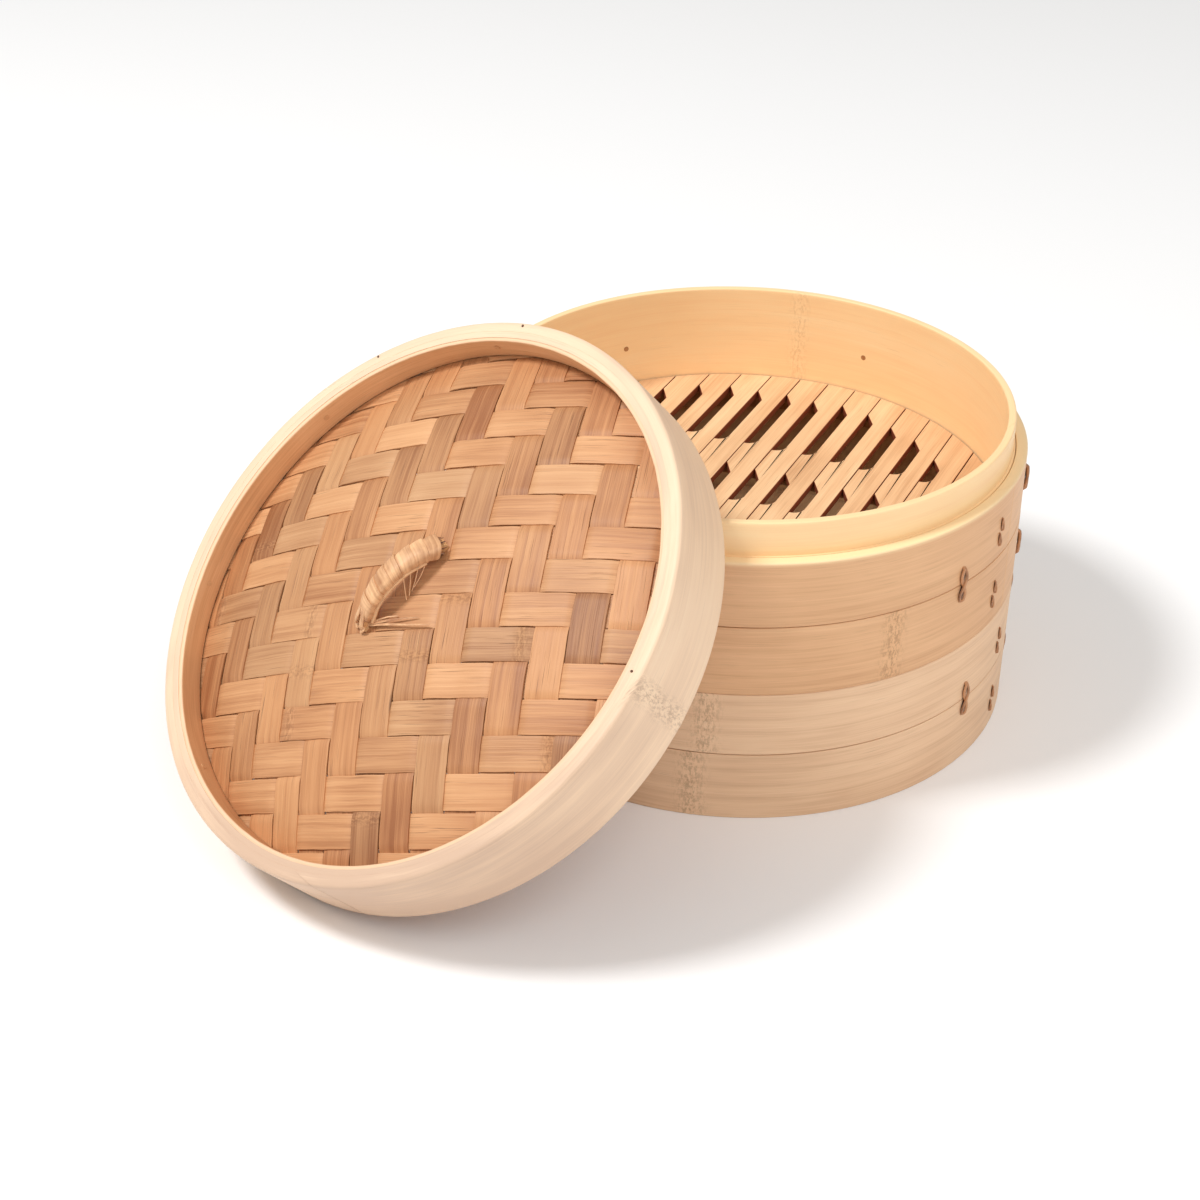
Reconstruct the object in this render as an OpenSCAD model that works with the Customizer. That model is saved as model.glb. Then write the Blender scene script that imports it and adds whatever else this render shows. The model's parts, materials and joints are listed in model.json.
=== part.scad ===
// Two-tier round bamboo steamer with a woven, domed lid.
//
// The origin is the centre of the lower tier's base, with +Z up. The lid leans against the
// stack on the -X side with its woven face outward and its lower edge on the ground.
// Each tier is an inner hoop whose lip stands above two outer hoops. The tier or lid above
// drops over that lip and rests on the ledge that the outer hoops leave.

/* [Tier hoops] */
// Outer radius of the tiers
tier_r = 100; // [80:1:130]
// Radius of the lip, outside the inner hoop
lip_r = 94.8; // [75:0.2:125]
// Thickness of the inner hoop's lip
inner_hoop_t = 2.8; // [2:0.2:4]
// Gap between the lip and whatever drops over it
socket_gap = 0.4; // [0.3:0.1:0.8]
// Height of one tier, without its lip
tier_h = 50; // [40:1:80]
// Height of the lip above the ledge
lip_h = 12; // [8:1:20]
// Height of the lower outer hoop
low_band_h = 26; // [18:1:40]
// Seam between the two outer hoops
band_seam = 0.3; // [0.2:0.1:0.6]

/* [Steaming floor] */
// Height of the slats' top face above the tier's base
floor_z = 25.5; // [20:0.5:35]
// Thickness of one slat
slat_t = 3; // [2:0.5:4]
// Spacing of the slats
slat_pitch = 11.4; // [10:0.1:14]
// Split between neighbouring slats
slat_split = 0.35; // [0.2:0.05:0.6]
// Direction of the slats, from +X
slat_turn = 23.9; // [0:0.1:90]
// Depth of the steam notches
notch_d = 4.2; // [3:0.1:5.5]
// Distance of the cross bars from the centre
bar_x = 21.5; // [18:0.5:25]
// Width of a cross bar
bar_w = 11; // [6:1:14]

/* [Lid] */
// Outer radius of the lid
lid_r = 99.2; // [80:0.2:130]
// Height of the lid's outer hoop
lid_h = 29.5; // [24:0.5:36]
// Inside radius of the lid's rim
rim_in_r = 91.4; // [75:0.2:125]
// Depth of the socket under the lid
lid_socket_h = 12.6; // [12.4:0.1:14]
// Depth of the weave's edge below the rim's face
weave_drop = 10.6; // [9:0.2:12]
// Rise of the weave from its edge to its middle
dome_rise = 14.1; // [8:0.1:18]
// Lean of the lid from the horizontal
lid_tilt = 41.9; // [35:0.1:50]
// Distance of the middle of the lid's mouth from the stack's axis
lid_reach = 129.5; // [120:0.5:145]

/* [Weave] */
// Spacing of the woven strips
strip_pitch = 11.6; // [9:0.1:14]
// Slot of air between neighbouring strips
strip_gap = 1.3; // [1.2:0.1:1.6]
// Thickness of a woven strip
strip_t = 1; // [0.6:0.1:1.4]
// Direction of the weft strips in the lid, from the lean's rising direction
weave_turn = -60.5; // [-90:0.5:90]

/* [Handle] */
// Distance between the middles of the handle's feet
handle_span = 36; // [32:1:44]
// Height of the handle's middle line above the weave
handle_rise = 8; // [7:0.5:12]
// Width of the bent bamboo core
core_w = 4; // [3.6:0.2:6]
// Thickness of the bent bamboo core
core_t = 2; // [1.8:0.1:2.4]
// Thickness of the rattan wrap
wrap_t = 0.7; // [0.6:0.1:0.9]
// Number of turns of the wrap
wrap_turns = 7; // [5:1:9]
// Direction of the handle in the lid
handle_turn = -13.5; // [-45:0.1:45]

/* [Lashings and pegs] */
// Radius of a bamboo peg
peg_r = 1; // [0.8:0.1:1.5]
// Width of a rattan stitch
stitch_w = 2; // [1.5:0.1:3]
// Thickness of a rattan stitch
stitch_t = 0.9; // [0.6:0.1:1.4]
// Clearance round a peg or a stitch in its hole
hole_gap = 0.15; // [0.1:0.05:0.3]

/* [Hidden] */
$fn = 96;
socket_r = lip_r + socket_gap;
inner_r = lip_r - inner_hoop_t;
body_r = lip_r + 0.8;
band_r = body_r + 0.2;
stop_z = lip_h + 0.6;
slat_count = 16;
slat_shift = -0.6;
floor_r = inner_r - 0.3;
slat_low_z = floor_z - slat_t;
ring_top_z = slat_low_z - 0.2;
ring_in_r = inner_r - 3.2;
bar_t = 2.9;
kerf = 0.3;
hand_gap = 0.2;
// Peg heights in a tier, and their first angles
high_peg_z = 40;
high_peg_turn = 15;
low_peg_z = 17.5;
low_peg_turn = 25;
peg_count = 6;
// Heights of the lap's leaning stitches and of its bold loops, lower hoop first
lap_z = [14.2, 38.8];
loop_z = [12.5, 38.5];
peg_out_r = tier_r - 2.5;
// Lid, measured from the plane of its mouth
mid_hoop_r = socket_r - 0.2;
mid_hoop_in = mid_hoop_r - 1.9;
weave_r = mid_hoop_in - 0.25;
clamp_r = weave_r + 0.1;
lid_lift_z = lid_r * sin(lid_tilt);
edge_h = lid_h - weave_drop;
apex_h = edge_h + dome_rise;
dome_r = (rim_in_r * rim_in_r + dome_rise * dome_rise) / (2 * dome_rise);
dome_c = apex_h - dome_r;
layer_gap = 0.15;
under_r = dome_r - 2 * strip_t - layer_gap;
// Levels of the weave: 0 is the lower pass and 1 is the upper
riser = 0.4;
strip_w = strip_pitch - strip_gap;
warp_edge = 4.6;
weft_edge = -3.5;
first_edge = -9;
last_edge = 9;
first_weft = -8;
last_weft = 8;
first_warp = -9;
last_warp = 7;
rib_count = 3;
rib_w = 9;
rib_t = 2.6;
rib_space = 38;
rib_r = under_r - 0.25;
// Handle
handle_x = 0.5;
handle_y = -0.8;
arch_r = (handle_span * handle_span / 4 + handle_rise * handle_rise) / (2 * handle_rise);
arch_half = asin(handle_span / 2 / arch_r);
handle_h = apex_h;
leg_len = 7;
toggle_r = 1.2;
toggle_len = 12;
toggle_z = -4.6;
wrap_lap = 0.3;
wrap_start = 90 - arch_half + 6;
wrap_end = 90 + arch_half - 6;
turn_step = (wrap_end - wrap_start) / wrap_turns;
lid_peg_z = 24.5;
lid_peg_count = 8;

bamboo = [0.93, 0.74, 0.53];
bamboo_pale = [0.98, 0.85, 0.67];
bamboo_warm = [0.96, 0.73, 0.49];
weft_tone = [0.91, 0.69, 0.52];
warp_tone = [0.84, 0.61, 0.43];
rattan = [0.76, 0.6, 0.38];
dark_rattan = [0.5, 0.3, 0.16];
peg_tone = [0.62, 0.42, 0.24];

// Section of a hoop with its corners eased: radii, heights, then outer and inner easing.
module hoop_section(r0, r1, z0, z1, co, ci) {
    polygon([
        [r0, z0 + ci],
        [r0 + ci, z0],
        [r1 - co, z0],
        [r1, z0 + co],
        [r1, z1 - co],
        [r1 - 0.3 * co, z1 - 0.3 * co],
        [r1 - co, z1],
        [r0 + ci, z1],
        [r0 + 0.3 * ci, z1 - 0.3 * ci],
        [r0, z1 - ci]
    ]);
}

// The slanting kerf of the long scarf where a hoop's two ends overlap.
module scarf_kerf(r0, r1, z0, z1, turn) {
    rotate([0, 0, turn])
        translate([r0 - kerf / 2, -0.08 * r0, z0 - 1])
            cube([kerf, sqrt(r1 * r1 - r0 * r0) + 0.08 * r0 + 3, z1 - z0 + 2]);
}

// A plain strip bent into a hoop.
module bent_hoop(r0, r1, z0, z1, co, ci, turn) {
    difference() {
        rotate_extrude() hoop_section(r0, r1, z0, z1, co, ci);
        scarf_kerf(r0, r1, z0, z1, turn);
    }
}

// One radial peg, lying along +X before it is turned.
module radial_peg(a, z, r0, r1, r) {
    rotate([0, 0, a])
        translate([r0, 0, z])
            rotate([0, 90, 0])
                cylinder(h = r1 - r0, r = r);
}

// A flat rattan stitch: a bridge outside the hoops and two legs that go in through them.
module stitch(a, z, len, lean, w, t, grow, in_r) {
    rotate([0, 0, a])
        translate([tier_r, 0, z])
            rotate([lean, 0, 0]) {
                translate([0.12 - grow, -w / 2 - grow, -len / 2 - grow])
                    cube([t + 2 * grow, w + 2 * grow, len + 2 * grow]);
                for (s = [-1, 1])
                    translate([
                        in_r - tier_r - grow,
                        -w / 2 - grow,
                        s * (len / 2 - t / 2) - t / 2 - grow
                    ])
                        cube([tier_r - in_r + 0.3 + grow, w + 2 * grow, t + 2 * grow]);
            }
}

// Stitches that tie the two outer hoops of a tier together across their seam.
module seam_stitch_set(first, grow) {
    for (i = [0:2])
        stitch(first + 120 * i, low_band_h, 14, 0, stitch_w, stitch_t, grow, band_r + 0.3);
}

// Stitches through the scarfed lap of the outer hoops: two small leaning ones on each hoop
// at the inner end, and one bold loop on each at the outer end.
module lap_stitch_set(first, grow) {
    for (pair = [0, 1])
        for (i = [0, 1])
            stitch(
                first - 0.6 * i,
                lap_z[pair] - 5.4 * i,
                7.4, 23, 1.2, 0.8, grow, band_r + 0.3
            );
    for (z = loop_z)
        stitch(first + 21.5, z, 9.5, 0, 3, 1.5, grow, band_r + 0.3);
}

module peg_set(grow) {
    for (i = [0:peg_count - 1]) {
        radial_peg(high_peg_turn + 60 * i, high_peg_z, inner_r - 0.05, peg_out_r + grow, peg_r + grow);
        radial_peg(low_peg_turn + 60 * i, low_peg_z, ring_in_r - 0.05, peg_out_r + grow, peg_r + grow);
    }
}

// ---- One tier, standing on its own base ----

// The inner hoop is shaved thinner above the ledge, where it becomes the lip.
module tier_inner_hoop(scarf) {
    top = tier_h + lip_h;
    color(bamboo_warm)
        difference() {
            rotate_extrude()
                polygon([
                    [inner_r, stop_z + 0.4],
                    [inner_r + 0.4, stop_z],
                    [body_r, stop_z],
                    [body_r, tier_h],
                    [lip_r, tier_h],
                    [lip_r, top - 0.9],
                    [lip_r - 0.3, top - 0.3],
                    [lip_r - 0.9, top],
                    [inner_r + 0.7, top],
                    [inner_r + 0.2, top - 0.2],
                    [inner_r, top - 0.7]
                ]);
            scarf_kerf(inner_r, body_r, stop_z, top, scarf);
            peg_set(hole_gap);
        }
}

module tier_upper_band(scarf, seam, lap) {
    color(bamboo)
        difference() {
            bent_hoop(band_r, tier_r, low_band_h + band_seam / 2, tier_h, 0.9, 0.2, scarf);
            peg_set(hole_gap);
            seam_stitch_set(seam, hole_gap);
            lap_stitch_set(lap, hole_gap);
        }
}

// The lower outer hoop has the socket inside its foot. The inner hoop stands on the step
// above the socket.
module tier_lower_band(scarf, seam, lap) {
    top = low_band_h - band_seam / 2;
    color(bamboo)
        difference() {
            rotate_extrude()
                polygon([
                    [socket_r, 0.3],
                    [socket_r + 0.3, 0],
                    [tier_r - 0.7, 0],
                    [tier_r - 0.2, 0.2],
                    [tier_r, 0.7],
                    [tier_r, top - 0.7],
                    [tier_r - 0.2, top - 0.2],
                    [tier_r - 0.7, top],
                    [band_r, top],
                    [band_r, stop_z - 0.05],
                    [socket_r, stop_z - 0.05]
                ]);
            scarf_kerf(socket_r, tier_r, 0, top, scarf);
            peg_set(hole_gap);
            seam_stitch_set(seam, hole_gap);
            lap_stitch_set(lap, hole_gap);
        }
}

// The ring glued inside the hoop that carries the slats, notched for the cross bars.
module tier_floor_ring() {
    color(bamboo_warm)
        difference() {
            rotate_extrude() hoop_section(ring_in_r, inner_r - 0.15, stop_z, ring_top_z, 0.3, 0.3);
            for (s = [-1, 1])
                rotate([0, 0, slat_turn])
                    translate([s * bar_x - bar_w / 2 - hand_gap, -tier_r, ring_top_z - bar_t - hand_gap])
                        cube([bar_w + 2 * hand_gap, 2 * tier_r, bar_t + 2]);
            peg_set(hole_gap);
        }
}

module tier_cross_bars() {
    color(bamboo)
        for (s = [-1, 1])
            intersection() {
                cylinder(h = tier_h, r = floor_r - 0.1);
                rotate([0, 0, slat_turn])
                    translate([s * bar_x - bar_w / 2, -tier_r, ring_top_z - bar_t])
                        cube([bar_w, 2 * tier_r, bar_t]);
            }
}

// Outline of one steam notch, from x0 to x1 along the slat, open towards +Y.
module notch(x0, x1) {
    union() {
        translate([x0 + notch_d, 0])
            circle(r = notch_d);
        polygon([
            [x0 + notch_d, -notch_d],
            [x1 - 1.7 * notch_d, -notch_d],
            [x1, 0],
            [x1, 1],
            [x0, 1],
            [x0, 0]
        ]);
    }
}

// Middle of slat i, counted from 1, across the floor.
function slat_y(i) = (i - 0.5 - slat_count / 2) * slat_pitch + slat_shift;

// How far from the middle a notch may reach before it meets the hoop.
function notch_end(i) =
    let (far = max(abs(slat_y(i) - slat_pitch / 2), abs(slat_y(i) + slat_pitch / 2)))
    far < floor_r ? min(75, sqrt(floor_r * floor_r - far * far) - 12) : 0;

module tier_slat(i) {
    half = (slat_pitch - slat_split) / 2;
    x_end = notch_end(i);
    wander = ((i * 7) % 5 - 2) * 0.5;
    tone = 0.02 * ((i * 5) % 4);
    color([0.86 + tone, 0.7 + tone, 0.52 + tone])
        rotate([0, 0, slat_turn])
            translate([0, 0, slat_low_z])
                linear_extrude(slat_t)
                    difference() {
                        intersection() {
                            circle(r = floor_r);
                            translate([-tier_r, slat_y(i) - half])
                                square([2 * tier_r, 2 * half]);
                        }
                        translate([0, slat_y(i) + half]) {
                            if (i < slat_count) {
                                translate([wander, 0])
                                    notch(-12.5, 13);
                            }
                            if (x_end > 42) {
                                translate([wander, 0])
                                    notch(30, x_end);
                                translate([wander, 0])
                                    notch(-x_end, -30);
                            }
                        }
                    }
}

module tier_seam_stitches(first) {
    color(dark_rattan)
        seam_stitch_set(first, 0);
}

module tier_lap_stitches(first) {
    color(dark_rattan)
        lap_stitch_set(first, 0);
}

module tier_pegs() {
    color(peg_tone)
        peg_set(0);
}

// ---- The lid, measured from the middle of its mouth ----

module at_lid() {
    translate([-lid_reach, 0, lid_lift_z])
        rotate([0, -lid_tilt, 0])
            children();
}

module lid_peg_set(grow) {
    for (i = [0:lid_peg_count - 1])
        radial_peg(22.5 + 45 * i, lid_peg_z, rim_in_r - 0.05, lid_r - 2 + grow, peg_r + grow);
}

module lid_outer_hoop() {
    color(bamboo_pale)
        at_lid()
            difference() {
                bent_hoop(socket_r, lid_r, 0, lid_h, 1.2, 0.3, 200);
                lid_peg_set(hole_gap);
            }
}

module lid_inner_hoop() {
    color(bamboo_pale)
        at_lid()
            difference() {
                bent_hoop(mid_hoop_in, mid_hoop_r, lid_socket_h, lid_h - 0.1, 0.2, 0.3, 60);
                lid_peg_set(hole_gap);
            }
}

// The strip that holds the weave's edge down inside the rim.
module lid_clamp_strip() {
    color(bamboo_warm)
        at_lid()
            difference() {
                bent_hoop(rim_in_r, clamp_r, edge_h + 0.25, lid_h - 0.4, 0.2, 0.4, 300);
                lid_peg_set(hole_gap);
            }
}

// One curved rib in the weave's own frame, with room round it when it is used as a cutter.
module rib(i, grow) {
    y = (i - (rib_count - 1) / 2) * rib_space;
    rotate([-asin(y / dome_r), 0, 0])
        rotate([90, 0, 0])
            translate([0, 0, -rib_w / 2 - grow])
                linear_extrude(rib_w + 2 * grow)
                    intersection() {
                        difference() {
                            circle(r = rib_r + 3 * grow);
                            circle(r = rib_r - rib_t - grow);
                        }
                        translate([-tier_r, 0])
                            square([2 * tier_r, 2 * dome_r]);
                    }
}

// The ring under the weave's edge, with a slanting top and a notch for each end of each rib.
module lid_support_ring() {
    r0 = rim_in_r - 2.4;
    color(bamboo_warm)
        at_lid()
            difference() {
                rotate_extrude()
                    polygon([
                        [r0, lid_socket_h],
                        [weave_r, lid_socket_h],
                        [weave_r, dome_c + sqrt(under_r * under_r - weave_r * weave_r) - 0.25],
                        [r0, dome_c + sqrt(under_r * under_r - r0 * r0) - 0.25]
                    ]);
                translate([0, 0, dome_c])
                    rotate([0, 0, weave_turn])
                        for (i = [0:rib_count - 1])
                            rib(i, hand_gap);
            }
}

module lid_ribs() {
    color(bamboo)
        at_lid()
            for (i = [0:rib_count - 1])
                intersection() {
                    cylinder(h = 2 * lid_h, r = weave_r - 0.2);
                    translate([0, 0, dome_c])
                        rotate([0, 0, weave_turn])
                            rib(i, 0);
                }
}

// Angle from the dome's middle to the edge between strips j - 1 and j of the crossing set,
// seen along a strip that is rolled by the angle roll.
function edge_angle(edge, j, roll) = atan(tan(asin((edge + j * strip_pitch) / dome_r)) * cos(roll));

// A weft passes over two warps and under two, one further along on each row.
function weft_over(k, m) = ((k - m + 400) % 4) < 2 ? 1 : 0;

// Level of strip n of one set where it crosses strip j of the other.
function level(is_weft, n, j) = is_weft ? weft_over(j, n) : 1 - weft_over(n, j);

function low_r(l) = under_r + l * (strip_t + layer_gap);

// Points along one face of a strip. side is 1 for the top face and 0 for the under face.
function face_points(is_weft, n, roll, edge, side) = [
    for (j = [first_edge:last_edge])
        let (before = level(is_weft, n, j - 1))
        let (after = level(is_weft, n, j))
        let (shift = (before - after) * (side * 2 - 1) * (riser / 2) / dome_r * 180 / PI)
        let (a = edge_angle(edge, j, roll) + shift)
        for (l = before == after ? [before] : [before, after])
            [(low_r(l) + side * strip_t) * sin(a), (low_r(l) + side * strip_t) * cos(a)]
];

function reversed(v) = [for (i = [len(v) - 1:-1:0]) v[i]];

// One woven strip along X in the dome's frame, before it is rolled to its place.
module woven_strip(is_weft, n, roll, edge) {
    rotate([90, 0, 0])
        translate([0, 0, -strip_w / 2])
            linear_extrude(strip_w)
                polygon(concat(
                    face_points(is_weft, n, roll, edge, 1),
                    reversed(face_points(is_weft, n, roll, edge, 0))
                ));
}

module at_dome() {
    at_lid()
        translate([0, 0, dome_c])
            rotate([0, 0, weave_turn])
                children();
}

// Slots in the weave for the handle's legs.
module leg_slots() {
    at_handle()
        for (s = [-1, 1])
            translate([
                s * handle_span / 2 - core_t / 2 - 2 * hand_gap,
                -core_w / 2 - hand_gap,
                -leg_len
            ])
                cube([core_t + 4 * hand_gap, core_w + 2 * hand_gap, leg_len + 4]);
}

module lid_weft_strips() {
    color(weft_tone)
        for (m = [first_weft:last_weft]) {
            y = weft_edge + (m + 0.5) * strip_pitch;
            roll = asin(y / dome_r);
            difference() {
                intersection() {
                    at_lid() cylinder(h = 2 * lid_h, r = weave_r);
                    at_dome()
                        rotate([-roll, 0, 0])
                            woven_strip(true, m, roll, warp_edge);
                }
                leg_slots();
            }
        }
}

module lid_warp_strips() {
    color(warp_tone)
        for (k = [first_warp:last_warp]) {
            x = warp_edge + (k + 0.5) * strip_pitch;
            roll = asin(x / dome_r);
            difference() {
                intersection() {
                    at_lid() cylinder(h = 2 * lid_h, r = weave_r);
                    at_dome()
                        rotate([0, roll, 0])
                            rotate([0, 0, 90])
                                woven_strip(false, k, roll, weft_edge);
                }
                leg_slots();
            }
        }
}

// ---- The handle, standing on the weave ----

module at_handle() {
    at_lid()
        translate([handle_x, handle_y, handle_h])
            rotate([0, 0, handle_turn])
                children();
}

module arch_sweep(a0, a1) {
    translate([0, 0, handle_rise - arch_r])
        rotate([90, 0, 0])
            rotate([0, 0, a0])
                rotate_extrude(angle = a1 - a0)
                    children();
}

// Side view of the core: a shallow bow above the weave, and a leg under each of its ends.
module core_outline() {
    intersection() {
        translate([0, handle_rise - arch_r])
            difference() {
                circle(r = arch_r + core_t / 2);
                circle(r = arch_r - core_t / 2);
            }
        translate([-handle_span, 0])
            square([2 * handle_span, handle_span]);
    }
    for (s = [-1, 1])
        translate([s * handle_span / 2 - core_t / 2, -leg_len])
            square([core_t, leg_len + 0.5]);
}

module lid_handle_core() {
    color(bamboo)
        at_handle()
            difference() {
                rotate([90, 0, 0])
                    translate([0, 0, -core_w / 2])
                        linear_extrude(core_w)
                            core_outline();
                for (s = [-1, 1])
                    translate([s * handle_span / 2 - core_t, 0, toggle_z])
                        rotate([0, 90, 0])
                            cylinder(h = 2 * core_t, r = toggle_r + hole_gap);
            }
}

// Section across the handle: a filled oblong round the core, bigger than it by side.
module round_core(side) {
    translate([arch_r - core_t / 2 - side, -core_w / 2 - side])
        square([core_t + 2 * side, core_w + 2 * side]);
}

// The rattan wrap: one strip wound in overlapping turns, hollow where the core runs.
module lid_handle_wrap() {
    fit = 0.15;
    color(rattan)
        at_handle()
            difference() {
                union() {
                    arch_sweep(wrap_start, wrap_end) round_core(fit + wrap_t);
                    for (i = [0:wrap_turns - 1])
                        arch_sweep(wrap_start + turn_step * (i + 0.1), wrap_start + turn_step * (i + 0.8))
                            round_core(fit + wrap_t + wrap_lap);
                }
                arch_sweep(90 - arch_half, 90 + arch_half) round_core(fit);
            }
}

// The cross pins that stop the handle's legs under the weave.
module lid_handle_toggles() {
    color(peg_tone)
        at_handle()
            for (s = [-1, 1])
                translate([s * handle_span / 2 - toggle_len / 2, 0, toggle_z])
                    rotate([0, 90, 0])
                        cylinder(h = toggle_len, r = toggle_r);
}

module lid_pegs() {
    color(peg_tone)
        at_lid()
            lid_peg_set(0);
}

// ---- Two tiers: each with the turns of its scarfs and stitches ----

low_scarf = 150;
low_seam = -81.4;
low_lap = -66;
high_scarf = 165;
high_seam = -86.7;
high_lap = -73;

module at_upper() {
    translate([0, 0, tier_h])
        children();
}

module lower_inner_hoop() { tier_inner_hoop(low_scarf); }
module lower_upper_band() { tier_upper_band(low_lap + 2, low_seam, low_lap); }
module lower_lower_band() { tier_lower_band(low_lap + 3, low_seam, low_lap); }
module lower_floor_ring() { tier_floor_ring(); }
module lower_cross_bars() { tier_cross_bars(); }
module lower_seam_stitches() { tier_seam_stitches(low_seam); }
module lower_lap_stitches() { tier_lap_stitches(low_lap); }
module lower_pegs() { tier_pegs(); }
module lower_slat(i) { tier_slat(i); }

module upper_inner_hoop() { at_upper() tier_inner_hoop(high_scarf); }
module upper_upper_band() { at_upper() tier_upper_band(high_lap + 3, high_seam, high_lap); }
module upper_lower_band() { at_upper() tier_lower_band(high_lap + 2, high_seam, high_lap); }
module upper_floor_ring() { at_upper() tier_floor_ring(); }
module upper_cross_bars() { at_upper() tier_cross_bars(); }
module upper_seam_stitches() { at_upper() tier_seam_stitches(high_seam); }
module upper_lap_stitches() { at_upper() tier_lap_stitches(high_lap); }
module upper_pegs() { at_upper() tier_pegs(); }
module upper_slat(i) { at_upper() tier_slat(i); }

lower_inner_hoop();
lower_upper_band();
lower_lower_band();
lower_floor_ring();
lower_cross_bars();
lower_seam_stitches();
lower_lap_stitches();
lower_pegs();
lower_slat(1);  // lower_slat_01
lower_slat(2);  // lower_slat_02
lower_slat(3);  // lower_slat_03
lower_slat(4);  // lower_slat_04
lower_slat(5);  // lower_slat_05
lower_slat(6);  // lower_slat_06
lower_slat(7);  // lower_slat_07
lower_slat(8);  // lower_slat_08
lower_slat(9);  // lower_slat_09
lower_slat(10);  // lower_slat_10
lower_slat(11);  // lower_slat_11
lower_slat(12);  // lower_slat_12
lower_slat(13);  // lower_slat_13
lower_slat(14);  // lower_slat_14
lower_slat(15);  // lower_slat_15
lower_slat(16);  // lower_slat_16
upper_inner_hoop();
upper_upper_band();
upper_lower_band();
upper_floor_ring();
upper_cross_bars();
upper_seam_stitches();
upper_lap_stitches();
upper_pegs();
upper_slat(1);  // upper_slat_01
upper_slat(2);  // upper_slat_02
upper_slat(3);  // upper_slat_03
upper_slat(4);  // upper_slat_04
upper_slat(5);  // upper_slat_05
upper_slat(6);  // upper_slat_06
upper_slat(7);  // upper_slat_07
upper_slat(8);  // upper_slat_08
upper_slat(9);  // upper_slat_09
upper_slat(10);  // upper_slat_10
upper_slat(11);  // upper_slat_11
upper_slat(12);  // upper_slat_12
upper_slat(13);  // upper_slat_13
upper_slat(14);  // upper_slat_14
upper_slat(15);  // upper_slat_15
upper_slat(16);  // upper_slat_16
lid_outer_hoop();
lid_inner_hoop();
lid_clamp_strip();
lid_support_ring();
lid_ribs();
lid_weft_strips();
lid_warp_strips();
lid_handle_core();
lid_handle_wrap();
lid_handle_toggles();
lid_pegs();
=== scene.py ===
"""A two-tier bamboo steamer with its woven lid leaning against the stack.

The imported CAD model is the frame. The hoops, the weave and the lashings are rebuilt here round
it, at its sizes, with the wander and wear of bent bamboo. The slats, bars and pegs are its own.
"""

import json
import math
import random

import bmesh
import bpy
from mathutils import Matrix, Vector, noise


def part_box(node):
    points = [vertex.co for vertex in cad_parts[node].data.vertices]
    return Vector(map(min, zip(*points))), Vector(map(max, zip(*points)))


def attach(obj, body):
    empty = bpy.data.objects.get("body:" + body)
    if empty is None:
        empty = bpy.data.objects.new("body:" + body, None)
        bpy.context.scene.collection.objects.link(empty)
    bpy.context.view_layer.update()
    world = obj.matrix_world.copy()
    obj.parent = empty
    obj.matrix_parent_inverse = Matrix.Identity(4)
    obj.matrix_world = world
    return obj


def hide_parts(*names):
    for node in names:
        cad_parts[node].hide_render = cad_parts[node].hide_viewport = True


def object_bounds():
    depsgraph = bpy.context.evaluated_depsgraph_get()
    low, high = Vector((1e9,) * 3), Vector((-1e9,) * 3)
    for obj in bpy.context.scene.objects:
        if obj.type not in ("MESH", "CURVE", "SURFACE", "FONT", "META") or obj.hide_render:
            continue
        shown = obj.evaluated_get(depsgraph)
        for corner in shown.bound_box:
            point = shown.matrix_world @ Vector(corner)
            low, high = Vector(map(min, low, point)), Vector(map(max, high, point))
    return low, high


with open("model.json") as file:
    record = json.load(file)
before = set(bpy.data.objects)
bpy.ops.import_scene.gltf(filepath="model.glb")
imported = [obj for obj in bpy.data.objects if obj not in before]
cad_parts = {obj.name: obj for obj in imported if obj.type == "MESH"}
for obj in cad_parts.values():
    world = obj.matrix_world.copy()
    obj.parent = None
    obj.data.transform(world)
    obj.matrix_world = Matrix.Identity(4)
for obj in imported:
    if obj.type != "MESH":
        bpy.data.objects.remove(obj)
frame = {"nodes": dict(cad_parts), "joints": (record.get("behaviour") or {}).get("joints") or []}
cad_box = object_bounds()

MM = 0.001
TURN = 2 * math.pi
UP = Vector((0, 0, 1))

# Points nearer than this are one point
TOUCHING = 1e-6


# ---- Measuring the frame ----


def measure(node, place, low=-1.0):
    """Inner and outer radius, lowest and highest level of a node about a place's Z axis.
    Only its vertices from the level low upwards count."""
    local = place.inverted()
    spots = [local @ v.co for v in frame["nodes"][node].data.vertices]
    spots = [p for p in spots if p.z >= low]
    radii = [math.hypot(p.x, p.y) for p in spots]
    levels = [p.z for p in spots]
    return min(radii), max(radii), min(levels), max(levels)


def islands(node, place):
    """The separate solids of a node, each as a list of its vertices in a place's frame."""
    local = place.inverted()
    mesh = bmesh.new()
    mesh.from_mesh(frame["nodes"][node].data)
    bmesh.ops.remove_doubles(mesh, verts=mesh.verts, dist=TOUCHING)
    mesh.verts.ensure_lookup_table()
    seen, found = set(), []
    for start in mesh.verts:
        if start.index in seen:
            continue
        seen.add(start.index)
        queue, spots = [start], []
        while queue:
            v = queue.pop()
            spots.append(local @ v.co)
            for e in v.link_edges:
                w = e.other_vert(v)
                if w.index not in seen:
                    seen.add(w.index)
                    queue.append(w)
        found.append(spots)
    mesh.free()
    return found


def middle(spots):
    """Centre of the box round some points."""
    low = Vector([min(p[i] for p in spots) for i in range(3)])
    high = Vector([max(p[i] for p in spots) for i in range(3)])
    return (low + high) / 2


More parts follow.
